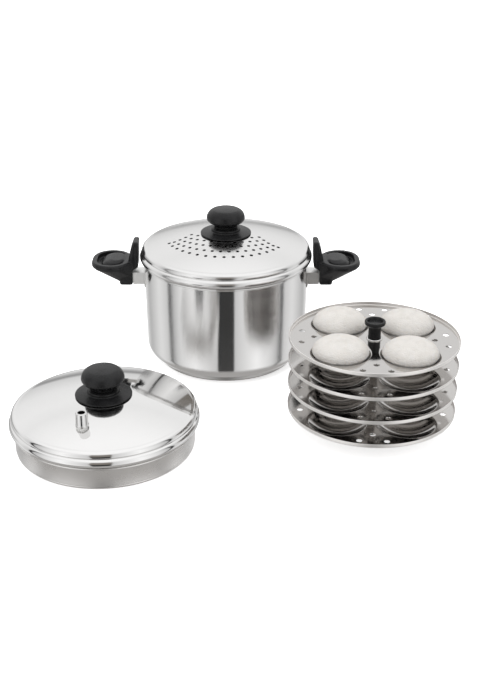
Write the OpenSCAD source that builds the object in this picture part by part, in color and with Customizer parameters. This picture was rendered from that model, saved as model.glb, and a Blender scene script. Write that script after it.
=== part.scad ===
// Idli steamer: a two-handled pot with a perforated strainer lid, a shallow
// steam tray under a vented lid, and a four-tier idli rack with a grip tube.
// The origin is the centre of the underside of the pot, +Z is up and the
// front of the set faces -Y.

/* [Pot] */
// Outer diameter of the pot body at the mouth
pot_d = 208; // [180:1:240]
// Height of the pot from the table to the top of its rim
pot_h = 132; // [110:1:170]
// Sheet thickness of the pot wall
pot_wall = 0.8; // [0.6:0.1:1.5]
// Radius of the rounded bottom corner of the pot
pot_corner = 17; // [10:1:24]
// Thickness of the sandwich base, core and cap together
base_t = 6.4; // [5:0.2:9]

/* [Strainer lid] */
// Largest diameter of the strainer lid
lid_d = 219; // [214:1:226]
// Diameter of the strainer holes
strain_hole_d = 4.2; // [2.5:0.1:5]
// Number of rows of strainer holes
strain_rows = 5; // [2:1:5]

/* [Vented lid and tray] */
// Largest diameter of the vented lid
vent_lid_d = 214; // [210:1:216]
// Height of the steam tray
tray_h = 27.6; // [20:0.2:40]
// Outer diameter of the tray wall
tray_d = 203; // [196:1:204]
// Diameter of the steam holes in the tray floor
tray_hole_d = 6; // [3:0.5:8]
// Bore of the vent tube
vent_bore = 4; // [2:0.5:5]

/* [Knobs] */
// Diameter of the knob cap
knob_d = 48.5; // [40:0.5:52]
// Diameter of the guard disc under the knob
guard_d = 64; // [54:1:70]

/* [Handles] */
// Reach of a side handle from the pot axis
handle_reach = 171; // [160:1:176]
// Width of a side handle
handle_w = 64; // [54:1:70]

/* [Rack] */
// Diameter of an idli plate
plate_d = 194; // [180:1:196]
// Distance from one plate to the next
tier_pitch = 28.8; // [26:0.2:34]
// Height of the lowest plate's rim above the table
first_rim = 27; // [24:0.5:34]
// Radius of one idli pit at the plate's surface
pit_r = 34; // [28:0.5:34]
// Depth of one idli pit
pit_depth = 13; // [10:0.5:15]
// Diameter of the steam holes in the plates
plate_hole_d = 6.8; // [4:0.2:8]
// Diameter of the centre rod
rod_d = 6; // [5:0.5:8]

/* [Layout] */
// Sideways place of the tray and its lid
tray_x = -134.5; // [-260:0.5:-130]
// Front-to-back place of the tray and its lid
tray_y = -238.5; // [-300:0.5:-236]
// Sideways place of the rack
rack_x = 170; // [165:0.5:260]
// Front-to-back place of the rack
rack_y = -194; // [-300:0.5:-180]

/* [Hidden] */

$fn = 96;
e = 0.01;
pot_r = pot_d / 2;
base_r = pot_r - 15.5;
lid_lift = 0.3;            // running gap between a lid and its seat
sheet = 0.8;
lid_rise = 35;             // height of the top of a lid above its lower bead

// ---- curve helpers ----
function arc_pts(c, r, a0, a1, n) =
    [for (i = [0:n]) let (a = a0 + (a1 - a0) * i / n) [c[0] + r * cos(a), c[1] + r * sin(a)]];
function unit(v) = v / norm(v);
// direction of travel along a path at one of its points
function along(p, i) = unit(p[min(i + 1, len(p) - 1)] - p[max(i - 1, 0)]);
// a sheet of thickness t on the right-hand side of a path
function sheet_pts(p, t) =
    concat(p, [for (i = [len(p) - 1:-1:0]) p[i] + t * [along(p, i)[1], -along(p, i)[0]]]);

// ---- pot ----
// outer profile of the pot body, from the centre of the bottom to the mouth
pot_low_r = pot_r - 1.2;
pot_path = concat(
    [[0, base_t], [pot_low_r - pot_corner - 4, base_t]],
    arc_pts([pot_low_r - pot_corner, base_t + pot_corner], pot_corner, -90, 0, 14),
    [[pot_r - 0.25, base_t + pot_corner + 46], [pot_r, base_t + pot_corner + 62], [pot_r, pot_h - 1.5]]);
pot_in = [for (i = [len(pot_path) - 1:-1:0])
    let (d = along(pot_path, i))
        (i == 0) ? [0, base_t + pot_wall]
        : (i == len(pot_path) - 1) ? [pot_r - pot_wall, pot_h - 1.5]
        : (i == len(pot_path) - 2) ? [pot_r - pot_wall, pot_path[i][1]]
        : pot_path[i] + pot_wall * [-d[1], d[0]]];

module pot_shell() {
    color("gainsboro") {
        difference() {
            union() {
                rotate_extrude($fn = 128) polygon(concat(pot_path, pot_in));
                // rolled rim
                translate([0, 0, pot_h - 1.3])
                    rotate_extrude($fn = 128) translate([pot_r + 0.4, 0]) circle(r = 1.3, $fn = 24);
            }
            // straight mouth
            translate([0, 0, pot_h - 40]) cylinder(r = pot_r - pot_wall, h = 60, $fn = 128);
        }
    }
}

// aluminium disc inside the base
module base_core() {
    color("darkgray")
        translate([0, 0, 0.9]) cylinder(r = base_r - 1.6, h = base_t - 0.9, $fn = 128);
}

// steel cap around the disc
module base_cap() {
    color("silver") difference() {
        rotate_extrude($fn = 128) polygon(concat([[0, 0], [base_r - 3, 0]],
            arc_pts([base_r - 3, 3], 3, -90, 0, 8), [[base_r, base_t], [0, base_t]]));
        translate([0, 0, 0.9]) cylinder(r = base_r - 1.6, h = base_t, $fn = 128);
    }
}

// ---- side handles, drawn on the +X side and mirrored for the left ----
br_z0 = 100;               // lower edge of the bracket
br_h = 16;
br_w = 20;
br_x = 119;                // outer face of the bracket
br_t = 1.4;
screw_z = br_z0 + br_h / 2;

module side(s) { if (s > 0) children(); else mirror([1, 0, 0]) children(); }

// formed steel bracket: a box open at the wall, with a curved foot on the pot
module bracket() {
    color("silver") difference() {
        union() {
            translate([pot_r - 6, -br_w / 2, br_z0]) cube([br_x - pot_r + 6, br_w, br_h]);
            // foot that is welded to the wall
            intersection() {
                difference() {
                    translate([0, 0, br_z0 - 2]) cylinder(r = pot_r + br_t, h = br_h + 4);
                    translate([0, 0, br_z0 - 3]) cylinder(r = pot_r + 0.02, h = br_h + 6);
                }
                translate([80, -br_w / 2 - 6, br_z0 - 2]) cube([40, br_w + 12, br_h + 4]);
            }
        }
        translate([80, -br_w / 2 + br_t, br_z0 + br_t])
            cube([br_x - br_t - 80, br_w - 2 * br_t, br_h - 2 * br_t]);
        translate([0, 0, br_z0 - 3]) cylinder(r = pot_r + 0.02, h = br_h + 6);
        translate([110, 0, screw_z]) rotate([0, 90, 0]) cylinder(d = 5.2, h = 20, $fn = 32);
    }
}
module bracket_left() { side(-1) bracket(); }
module bracket_right() { side(1) bracket(); }

// square nut held inside the bracket
module bracket_nut() {
    color("silver") difference() {
        translate([br_x - br_t - 4, -5, screw_z - 5]) cube([4, 10, 10]);
        translate([105, 0, screw_z]) rotate([0, 90, 0]) cylinder(d = 5, h = 20, $fn = 32);
    }
}
module bracket_nut_left() { side(-1) bracket_nut(); }
module bracket_nut_right() { side(1) bracket_nut(); }

// screw through the root of the grip into the bracket nut
module grip_screw() {
    color("silver") {
        translate([111, 0, screw_z]) rotate([0, 90, 0]) cylinder(d = 5, h = 21, $fn = 32);
        translate([131.6, 0, screw_z]) rotate([0, 90, 0]) difference() {
            cylinder(d = 8.6, h = 3.2, $fn = 32);
            translate([-5, -0.6, 1.8]) cube([10, 1.2, 3]);
        }
    }
}
module grip_screw_left() { side(-1) grip_screw(); }
module grip_screw_right() { side(1) grip_screw(); }

ear_z = 132;               // top of the raised lip of the ear
ear_r = 25;
ear_cx = handle_reach - ear_r;
ear_cy = handle_w / 2 - ear_r;

module ear_disc(shrink, z, h) {
    for (s = [-1, 1]) translate([ear_cx, s * ear_cy, z]) cylinder(r = ear_r - shrink, h = h, $fn = 40);
}

// moulded grip: an ear with a raised lip and a domed thumb pad, the deep root
// that meets the bracket, and a guard fin beside the lid
module grip() {
    color([0.09, 0.09, 0.09]) difference() {
        union() {
            difference() {
                hull() {
                    ear_disc(0, ear_z - 5.5, 3.5);
                    ear_disc(2, ear_z - 8, 8);
                    translate([br_x, -15, br_z0 + 12]) cube([12, 30, 18]);
                    translate([br_x + 11, -9, br_z0 + 2]) cube([3, 18, 5]);
                }
                // trough between the lip and the pad
                hull() ear_disc(7, ear_z - 6, 9);
            }
            // thumb pad
            hull() {
                for (s = [-1, 1]) {
                    translate([ear_cx - 2.5, s * ear_cy, ear_z - 7]) cylinder(r = ear_r - 10.8, h = 4, $fn = 36);
                    translate([ear_cx - 5, s * (ear_cy + 0.5), ear_z - 5]) cylinder(r = ear_r - 13, h = 5.2, $fn = 32);
                    translate([ear_cx - 7, s * ear_cy, ear_z - 5]) cylinder(r = ear_r - 18, h = 7.2, $fn = 24);
                }
            }
            // root against the bracket
            hull() for (y = [-12, 12]) for (x = [br_x + 3, br_x + 14]) {
                translate([x, y, br_z0 + 3]) sphere(r = 3, $fn = 16);
                translate([x, y, ear_z - 8]) sphere(r = 3, $fn = 16);
            }
            // guard fin beside the lid
            hull() for (y = [-11, 11]) {
                translate([br_x + 3, y, ear_z - 10]) sphere(r = 4, $fn = 16);
                translate([115.4, y, ear_z - 6]) sphere(r = 4, $fn = 16);
                translate([112.8, y * 0.9, 154.8]) sphere(r = 2.4, $fn = 16);
                translate([115.3, y * 0.9, 154.4]) sphere(r = 2.8, $fn = 16);
                translate([117.4, y * 0.95, 147]) sphere(r = 3.5, $fn = 16);
            }
        }
        // flat that seats on the bracket
        translate([100, -30, br_z0 - 5]) cube([br_x - 100, 60, 24]);
        // clearance round the widest bead of the lid
        translate([0, 0, br_z0 - 10]) cylinder(r = 110.4, h = 90);
        // screw hole and its head recess
        translate([110, 0, screw_z]) rotate([0, 90, 0]) cylinder(d = 5.2, h = 40, $fn = 32);
        translate([131.6, 0, screw_z]) rotate([0, 90, 0]) cylinder(d = 9.4, h = 40, $fn = 32);
    }
}
module grip_left() { side(-1) grip(); }
module grip_right() { side(1) grip(); }

// ---- lids ----
// outer profile of a lid from the screw hole to the plug, k scales its radius
function lid_path(k, plug_r) = let (rs = (pow(101.2 * k, 2) + pow(lid_rise - 18.8, 2)) / (2 * (lid_rise - 18.8)))
    concat(
        [for (i = [0:18]) let (r = 2.6 + (100 * k - 2.6) * i / 18) [r, lid_rise - rs + sqrt(rs * rs - r * r)]],
        arc_pts([101.2 * k, 13.2], 5.6, 84, -28, 14),
        arc_pts([104 * k, 5.5], 5.5, 62, -84, 18),
        [[plug_r + 1.2, 0]],
        arc_pts([plug_r + 1.0, -1.0], 1.0, 100, 170, 4),
        [[plug_r, -1.6], [plug_r, -7]]);
module lid_sheet(k, plug_r) {
    rotate_extrude($fn = 128) polygon(sheet_pts(lid_path(k, plug_r), sheet));
}

lid_k = lid_d / 219;
lid_z = pot_h + lid_lift;
// rows of strainer holes in front of the knob: equal arcs, each one set back
// from the last, with fewer holes in the rows further back
row_r = 76;                // radius of the rows' arcs
row_front = 69;            // how far the front row reaches in front of the knob
row_back = 12.3;
row_half = 68.5;           // half the width of the front row
row_count = [16, 15, 14, 12, 10];
lid_turn = -6;             // the lid sits on the pot a little turned
module strainer_holes() {
    for (k = [0:strain_rows - 1])
        let (half = asin((row_half - 6.4 * k) / row_r), n = row_count[k])
            for (i = [0:n - 1])
                let (a = -half + 2 * half * i / (n - 1), x = row_r * sin(a), y = row_back * k - row_front + row_r - row_r * cos(a))
                    if (norm([x, y]) > 21)
                        translate([x, y, 14]) cylinder(d = strain_hole_d, h = 26, $fn = 16);
}
module strainer_shell() {
    color("gainsboro") translate([0, 0, lid_z]) difference() {
        lid_sheet(lid_k, pot_r - 1.6);
        rotate([0, 0, lid_turn]) strainer_holes();
    }
}

// knob pieces, drawn with the top of the lid at z = 0
module knob_guard_body() {
    color([0.08, 0.08, 0.08]) difference() {
        rotate_extrude() polygon([
            [3, 0.35], [14, 0.1], [guard_d / 2 - 0.6, -0.95], [guard_d / 2, -0.5],
            [guard_d / 2 - 0.3, 0.5], [23, 1.6], [18.8, 2.4], [18.2, 3.2], [18.4, 4.8], [18, 6.2],
            [17, 6.8], [15.6, 7.2], [3, 7.2]]);
        translate([0, 0, -5]) cylinder(d = 6.4, h = 20, $fn = 32);
    }
}
module knob_body() {
    color([0.1, 0.1, 0.1]) difference() {
        rotate_extrude() polygon(concat(
            [[0, 31], [8, 30.8]],
            arc_pts([knob_d / 2 - 11.5, 19.3], 11.5, 75, 20, 8),
            arc_pts([knob_d / 2 - 6, 19.8], 6, 12, -66, 8),
            [[17.5, 12.6], [15.2, 10.8], [14.6, 9.2], [14.6, 7.3], [0, 7.3]]));
        // pocket for the threaded insert
        translate([0, 0, 7]) cylinder(d = 9.1, h = 14.3, $fn = 32);
    }
}
module knob_insert_body() {
    color("goldenrod") difference() {
        union() {
            translate([0, 0, 7.5]) cylinder(d = 9, h = 13.5, $fn = 32);
        }
        translate([0, 0, 7]) cylinder(d = 5, h = 15, $fn = 32);
    }
}
module knob_screw_body() {
    color("silver") {
        translate([0, 0, -2.3]) cylinder(d = 5, h = 20.5, $fn = 32);
        translate([0, 0, -5.05]) difference() {
            rotate_extrude() polygon([[0, 0.3], [3, 0], [4.4, 0.6], [5, 1.5], [5, 2.8], [0, 2.8]]);
            translate([-0.6, -6, -1]) cube([1.2, 12, 2.2]);
        }
    }
}
module knob_washer_body() {
    color("silver") translate([0, 0, -2.1]) difference() {
        rotate_extrude() polygon([[2.65, 0], [11, -0.3], [11, 0.7], [2.65, 1.2]]);
        translate([0, 0, -3]) cylinder(d = 5.3, h = 8, $fn = 32);
    }
}
module on_strainer() { translate([0, 0, lid_z + lid_rise]) children(); }
module strainer_knob() { on_strainer() knob_body(); }
module strainer_knob_guard() { on_strainer() knob_guard_body(); }
module strainer_knob_insert() { on_strainer() knob_insert_body(); }
module strainer_knob_screw() { on_strainer() knob_screw_body(); }
module strainer_knob_washer() { on_strainer() knob_washer_body(); }

// ---- steam tray and vented lid ----
vent_k = vent_lid_d / 219;
tray_r = tray_d / 2;
vent_lid_z = tray_h + lid_lift;
vent_plug = tray_r - sheet - 1.0;
// place of the vent tube on the lid
vt_x = -16.5;
vt_y = -64;
vent_rs = (pow(101.2 * vent_k, 2) + pow(lid_rise - 18.8, 2)) / (2 * (lid_rise - 18.8));
vt_z = lid_rise - vent_rs + sqrt(vent_rs * vent_rs - vt_x * vt_x - vt_y * vt_y);

// outer profile of the tray, from the centre of its floor to the flange
tray_path = concat([[0, 0], [tray_r - 4.4, 0]],
    arc_pts([tray_r - 3.6, 3.2], 3.2, -90, 0, 8),
    [[tray_r - 0.4, 4.2], [tray_r, 4.8], [tray_r, tray_h - 2.2]]);
module steam_tray() {
    color("darkgray") translate([tray_x, tray_y, 0]) difference() {
        union() {
            rotate_extrude($fn = 128) polygon(concat(tray_path,
                [[tray_r - sheet, tray_h - 2.2], [tray_r - sheet, 4.6]],
                arc_pts([tray_r - 3.6 - sheet / 2, 3.2 + sheet / 4], 2.8, 0, -90, 8),
                [[0, sheet]]));
            // turned-out flange with a rolled edge
            translate([0, 0, tray_h - 2.3]) difference() {
                union() {
                    cylinder(r = tray_r + 2.4, h = 0.9, $fn = 128);
                    translate([0, 0, 1.15 - 0.2])
                        rotate_extrude($fn = 128) translate([tray_r + 0.4, 0]) circle(r = 1.35, $fn = 20);
                }
                translate([0, 0, -5]) cylinder(r = tray_r - sheet, h = 12, $fn = 128);
            }
        }
        // rings of steam holes in the floor
        for (ring = [1:6]) for (i = [0:6 * ring - 1])
            rotate([0, 0, i * 60 / ring + 10 * ring])
                translate([14.5 * ring, 0, -1]) cylinder(d = tray_hole_d, h = 4, $fn = 16);
    }
}

module vent_shell() {
    color("gainsboro") translate([tray_x, tray_y, vent_lid_z]) difference() {
        lid_sheet(vent_k, vent_plug);
        translate([vt_x, vt_y, vt_z - 8]) cylinder(d = 8.2, h = 16, $fn = 32);
    }
}
module on_vent() { translate([tray_x, tray_y, vent_lid_z + lid_rise]) children(); }
module vent_knob() { on_vent() knob_body(); }
module vent_knob_guard() { on_vent() knob_guard_body(); }
module vent_knob_insert() { on_vent() knob_insert_body(); }
module vent_knob_screw() { on_vent() knob_screw_body(); }
module vent_knob_washer() { on_vent() knob_washer_body(); }

module at_vent() { translate([tray_x + vt_x, tray_y + vt_y, vent_lid_z + vt_z]) children(); }
// turned vent tube: collar, barrel and a wide mouth
module vent_tube() {
    color("silver") at_vent() difference() {
        union() {
            translate([0, 0, 1.65]) cylinder(d = 14.6, h = 2.2);
            translate([0, 0, 3.8]) cylinder(d1 = 13.8, d2 = 13.2, h = 13);
            translate([0, 0, 16.75]) cylinder(d1 = 13.2, d2 = 11.6, h = 0.9);
            translate([0, 0, -9]) cylinder(d = 8, h = 11, $fn = 48);
        }
        translate([0, 0, 3]) cylinder(d = vent_bore, h = 12, $fn = 32);
        translate([0, 0, 12]) cylinder(d = 7.6, h = 8, $fn = 32);
        translate([0, 0, -10]) cylinder(d = vent_bore + 1.2, h = 13.2, $fn = 32);
    }
}
// the seal that takes up the slope of the lid under the collar
module vent_gasket() {
    color([0.13, 0.13, 0.13]) difference() {
        at_vent() translate([0, 0, -3]) cylinder(d = 12.6, h = 4.65, $fn = 48);
        translate([tray_x, tray_y, vent_lid_z + lid_rise - vent_rs]) sphere(r = vent_rs + 0.05, $fn = 200);
        at_vent() translate([0, 0, -5]) cylinder(d = 8.1, h = 12, $fn = 32);
    }
}
module vent_nut() {
    color("silver") at_vent() difference() {
        translate([0, 0, -7]) cylinder(d = 14.4, h = 4.2, $fn = 6);
        translate([0, 0, -10]) cylinder(d = 8.05, h = 12, $fn = 32);
    }
}

// ---- idli rack ----
plate_r = plate_d / 2;
plate_t = 0.8;
rim_up = 4;
pit_c = 54.5;              // distance of a pit from the rod
rack_turn = -4;            // the rack stands a little turned
pit_rs = (pit_r * pit_r + pit_depth * pit_depth) / (2 * pit_depth);
function deck_z(k) = first_rim + tier_pitch * (k - 1) - rim_up;   // top of the flat deck of tier k
module at_rack(z = 0) { translate([rack_x, rack_y, z]) children(); }

// one plate: a flat deck, a turned-up rim, four pits and the steam holes
module idli_plate(k) {
    color("gainsboro") at_rack(deck_z(k)) difference() {
        union() {
            translate([0, 0, -plate_t]) cylinder(r = plate_r - 1.2, h = plate_t, $fn = 128);
            rotate_extrude($fn = 128) polygon(concat(
                [[plate_r - 3, -plate_t]],
                arc_pts([plate_r - 1.6, 0.8], 1.6, -90, 0, 6),
                [[plate_r, rim_up - 0.3], [plate_r - 0.3, rim_up], [plate_r - 0.6, rim_up], [plate_r - 0.9, rim_up - 0.3]],
                [[plate_r - 0.9, 0.9]],
                arc_pts([plate_r - 1.7, 0.8], 0.8, 0, -90, 5),
                [[plate_r - 3, 0]]));
            for (a = [45:90:315]) rotate([0, 0, a + rack_turn]) translate([pit_c, 0, 0]) intersection() {
                translate([0, 0, pit_rs - pit_depth]) sphere(r = pit_rs + plate_t, $fn = 96);
                translate([0, 0, -pit_depth - 2]) cylinder(r = pit_r + 0.4, h = pit_depth + 2);
            }
        }
        for (a = [45:90:315]) rotate([0, 0, a + rack_turn]) translate([pit_c, 0, 0]) intersection() {
            translate([0, 0, pit_rs - pit_depth]) sphere(r = pit_rs, $fn = 96);
            translate([0, 0, -pit_depth - 2]) cylinder(r = pit_r + 8, h = pit_depth + 3);
        }
        // three steam holes between neighbouring pits
        for (a = [0:90:270]) rotate([0, 0, a + rack_turn]) {
            translate([68, 0, -3]) cylinder(d = plate_hole_d, h = 6, $fn = 24);
            for (s = [-1, 1]) translate([82, s * 15.2, -3]) cylinder(d = plate_hole_d, h = 6, $fn = 24);
        }
        translate([0, 0, -3]) cylinder(d = rod_d + 0.7, h = 6, $fn = 48);
    }
}
module plate_1() { idli_plate(1); }
module plate_2() { idli_plate(2); }
module plate_3() { idli_plate(3); }
module plate_4() { idli_plate(4); }

// tube that holds two plates apart
module spacer(k) {
    color("silver") at_rack(deck_z(k) + 0.02) difference() {
        cylinder(d = 12, h = tier_pitch - plate_t - 0.04, $fn = 64);
        translate([0, 0, -1]) cylinder(d = rod_d + 0.7, h = tier_pitch + 2, $fn = 48);
    }
}
module spacer_1() { spacer(1); }
module spacer_2() { spacer(2); }
module spacer_3() { spacer(3); }

rod_top = deck_z(4) + 14;
module rack_rod() {
    color("silver") at_rack() union() {
        translate([0, 0, 2.2]) cylinder(d = rod_d, h = rod_top - 2.2, $fn = 48);
        translate([0, 0, rod_top - e]) cylinder(d1 = rod_d, d2 = rod_d - 1.6, h = 0.8, $fn = 48);
    }
}
// spun foot that lifts the lowest plate above the water
foot_top = deck_z(1) - plate_t - 0.03;
foot_path = concat([[29, 0], [29, 1.2]], arc_pts([26.4, 1.4], 2.6, 0, 80, 5),
    [[12, 7], [8.6, 10], [7.6, 14], [7.6, foot_top]]);
module rack_foot() {
    color("silver") at_rack() difference() {
        rotate_extrude($fn = 96) polygon(concat(foot_path,
            [[rod_d / 2 + 0.1, foot_top], [rod_d / 2 + 0.1, 7.2], [8, 7.2], [11.4, 5.6], [25.8, 2.6], [27.4, 1.4], [27.6, 0]]));
        translate([0, 0, -1]) cylinder(d = rod_d + 0.2, h = 40, $fn = 48);
    }
}
module rack_foot_nut() {
    color("silver") at_rack() difference() {
        translate([0, 0, 2.6]) cylinder(d = 12.5, h = 4.5, $fn = 6);
        cylinder(d = rod_d + 0.02, h = 10, $fn = 48);
    }
}

hz = deck_z(4);            // the deck that the grip tube stands on
module rack_handle_washer() {
    color("silver") at_rack(hz + 0.02) difference() {
        rotate_extrude() polygon([[rod_d / 2 + 0.2, 0], [9, 0], [9, 0.8], [8.4, 1.3], [rod_d / 2 + 0.2, 1.3]]);
        translate([0, 0, -1]) cylinder(d = rod_d + 0.7, h = 6, $fn = 48);
    }
}
// black grip tube, flared and hollow at its top
module rack_handle() {
    color([0.1, 0.1, 0.1]) at_rack(hz + 1.34) difference() {
        rotate_extrude() polygon([[0, 0], [7, 0], [7.5, 0.6], [7.1, 3], [7.1, 13.4], [8, 15],
            [11, 16.4], [11.9, 17.4], [11.9, 20.2], [11.2, 21], [9.6, 21], [8.8, 19.6], [8.2, 17.6], [0, 17.6]]);
        translate([0, 0, -1]) cylinder(d = 9.1, h = 15.2, $fn = 48);
    }
}
module rack_handle_insert() {
    color("goldenrod") at_rack(hz + 1.5) difference() {
        cylinder(d = 9, h = 14, $fn = 48);
        translate([0, 0, -1]) cylinder(d = rod_d + 0.2, h = 16, $fn = 48);
    }
}

// steamed cakes in the pits of the top plate
cake_r = pit_r - 2;
cake_rise = 17;
module idli(n) {
    a = -135 + 90 * (n - 1) + rack_turn;
    low = pit_rs - 0.4;
    color("ivory") at_rack(hz) rotate([0, 0, a]) translate([pit_c, 0, 0]) {
        rotate_extrude($fn = 96) polygon(concat(
            [for (i = [0:16]) let (r = cake_r * i / 16) [r, 0.1 + pit_rs - pit_depth - sqrt(low * low - r * r)]],
            [for (i = [0:18]) let (a = 5 * i) [cake_r * cos(a), 0.9 + cake_rise * sin(a)]]));
    }
}
module idli_1() { idli(1); }
module idli_2() { idli(2); }
module idli_3() { idli(3); }
module idli_4() { idli(4); }

pot_shell();
base_core();
base_cap();
bracket_left();
bracket_right();
bracket_nut_left();
bracket_nut_right();
grip_left();
grip_right();
grip_screw_left();
grip_screw_right();
strainer_shell();
strainer_knob();
strainer_knob_guard();
strainer_knob_insert();
strainer_knob_screw();
strainer_knob_washer();
steam_tray();
vent_shell();
vent_knob();
vent_knob_guard();
vent_knob_insert();
vent_knob_screw();
vent_knob_washer();
vent_tube();
vent_gasket();
vent_nut();
rack_rod();
rack_foot();
rack_foot_nut();
plate_1();
plate_2();
plate_3();
plate_4();
spacer_1();
spacer_2();
spacer_3();
rack_handle_washer();
rack_handle();
rack_handle_insert();
idli_1();
idli_2();
idli_3();
idli_4();
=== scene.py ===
import math

import bmesh
import bpy
from mathutils import Matrix, Vector, noise
from mathutils.geometry import delaunay_2d_cdt


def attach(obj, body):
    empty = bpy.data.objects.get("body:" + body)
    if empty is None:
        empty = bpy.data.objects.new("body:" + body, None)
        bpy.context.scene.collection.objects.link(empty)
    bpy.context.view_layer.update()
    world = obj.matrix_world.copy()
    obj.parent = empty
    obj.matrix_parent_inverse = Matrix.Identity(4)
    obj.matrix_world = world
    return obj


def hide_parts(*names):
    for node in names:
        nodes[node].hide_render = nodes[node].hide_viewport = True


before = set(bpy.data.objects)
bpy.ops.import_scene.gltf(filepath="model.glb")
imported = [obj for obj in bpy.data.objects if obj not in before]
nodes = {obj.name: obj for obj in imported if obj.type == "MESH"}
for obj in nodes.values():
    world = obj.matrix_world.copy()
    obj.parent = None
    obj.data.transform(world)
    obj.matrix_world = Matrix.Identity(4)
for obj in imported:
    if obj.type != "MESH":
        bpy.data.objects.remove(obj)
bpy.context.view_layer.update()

scene = bpy.context.scene
MM = 0.001

# ---------------------------------------------------------------- camera
cam_data = bpy.data.cameras.new("camera")
cam_data.sensor_width = 36.0
cam_data.lens = 60.8
cam_data.clip_start = 0.05
cam_data.clip_end = 60.0
cam = bpy.data.objects.new("camera", cam_data)
cam.location = (0.0160, -1.3751, 0.6626)
cam.rotation_euler = (math.radians(64.8), 0.0, 0.0)
scene.collection.objects.link(cam)
scene.camera = cam

scene.view_settings.view_transform = "Standard"
scene.view_settings.look = "None"
scene.view_settings.exposure = 0.0
scene.view_settings.gamma = 1.0

# ---------------------------------------------------------------- studio
# A white light tent. Its panels meet at narrow gaps, and a wider dark gap
# faces the front of the set; polished steel shows them as upright lines.
world = bpy.data.worlds.new("tent")
scene.world = world
world.use_nodes = True
wt = world.node_tree
wt.nodes.clear()


def wnode(kind, **kw):
    n = wt.nodes.new(kind)
    for k, v in kw.items():
        setattr(n, k, v)
    return n


def wmath(op, a, b=None, c=None, clamp=False):
    n = wnode("ShaderNodeMath", operation=op)
    n.use_clamp = clamp
    for i, v in enumerate((a, b, c)):
        if v is None:
            continue
        if isinstance(v, (int, float)):
            n.inputs[i].default_value = v
        else:
            wt.links.new(v, n.inputs[i])
    return n.outputs[0]


w_out = wnode("ShaderNodeOutputWorld")
w_bg = wnode("ShaderNodeBackground")
w_co = wnode("ShaderNodeTexCoord")
w_sep = wnode("ShaderNodeSeparateXYZ")
wt.links.new(w_co.outputs["Generated"], w_sep.inputs[0])
w_neg = wmath("MULTIPLY", w_sep.outputs["Y"], -1.0)
w_az = wmath("ABSOLUTE", wmath("ARCTAN2", w_sep.outputs["X"], w_neg))
w_az = wmath("DIVIDE", w_az, math.pi)


def ramp(tree, fac, stops, interp="LINEAR"):
    n = tree.nodes.new("ShaderNodeValToRGB")
    n.color_ramp.interpolation = interp
    els = n.color_ramp.elements
    while len(els) < len(stops):
        els.new(0.5)
    for el, (p, v) in zip(els, stops):
        el.position = p
        c = (v, v, v) if isinstance(v, (int, float)) else v
        el.color = (c[0], c[1], c[2], 1.0)
    tree.links.new(fac, n.inputs[0])
    return n.outputs[0]


tent = [(0, 0.045), (11.0, 0.045), (13.0, 0.70), (26, 0.86), (46, 1.12), (68, 0.84), (81.5, 0.56),
        (84.0, 0.03), (87.0, 0.03), (89.5, 0.70), (108, 0.90), (140, 0.52), (165, 0.95), (180, 0.9)]
w_wall = ramp(wt, w_az, [(a / 180.0, v) for a, v in tent])
# overhead: a soft roof panel, brighter towards the zenith
w_roof = ramp(wt, w_sep.outputs["Z"], [(0.0, 0.16), (0.03, 0.22), (0.08, 0.72), (0.30, 0.92), (0.50, 0.98), (0.62, 0.94), (0.86, 1.10), (1.0, 1.12)])
w_front = wmath("GREATER_THAN", w_neg, 0.0)
w_mix = wnode("ShaderNodeMix", data_type="RGBA")
w_up = wnode("ShaderNodeMapRange", interpolation_type="SMOOTHSTEP")
w_up.inputs["From Min"].default_value = 0.45
w_up.inputs["From Max"].default_value = 0.80
wt.links.new(w_sep.outputs["Z"], w_up.inputs["Value"])
w_back = wnode("ShaderNodeMapRange", interpolation_type="SMOOTHSTEP")
w_back.inputs["From Min"].default_value = -0.20
w_back.inputs["From Max"].default_value = 0.10
wt.links.new(w_sep.outputs["Z"], w_back.inputs["Value"])
w_behind = wnode("ShaderNodeMapRange", interpolation_type="SMOOTHSTEP")
w_behind.inputs["From Min"].default_value = 0.15
w_behind.inputs["From Max"].default_value = 0.55
wt.links.new(w_sep.outputs["Y"], w_behind.inputs["Value"])
w_blend = wmath("MAXIMUM", w_up.outputs["Result"],
                wmath("MULTIPLY", w_back.outputs["Result"], w_behind.outputs["Result"]))
w_fade = wnode("ShaderNodeMapRange", interpolation_type="SMOOTHSTEP")
w_fade.inputs["From Min"].default_value = -0.22
w_fade.inputs["From Max"].default_value = 0.02
wt.links.new(w_sep.outputs["Z"], w_fade.inputs["Value"])
w_near = wnode("ShaderNodeMapRange", interpolation_type="SMOOTHSTEP")
w_near.inputs["From Min"].default_value = 15.0 / 180.0
w_near.inputs["From Max"].default_value = 10.0 / 180.0
wt.links.new(w_az, w_near.inputs["Value"])
w_soft = wnode("ShaderNodeMix", data_type="RGBA")
wt.links.new(wmath("MULTIPLY", w_fade.outputs["Result"], w_near.outputs["Result"]), w_soft.inputs["Factor"])
wt.links.new(w_wall, w_soft.inputs["A"])
w_soft.inputs["B"].default_value = (0.24, 0.22, 0.20, 1.0)
wt.links.new(w_blend, w_mix.inputs["Factor"])
wt.links.new(w_soft.outputs["Result"], w_mix.inputs["A"])
wt.links.new(w_roof, w_mix.inputs["B"])
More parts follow.
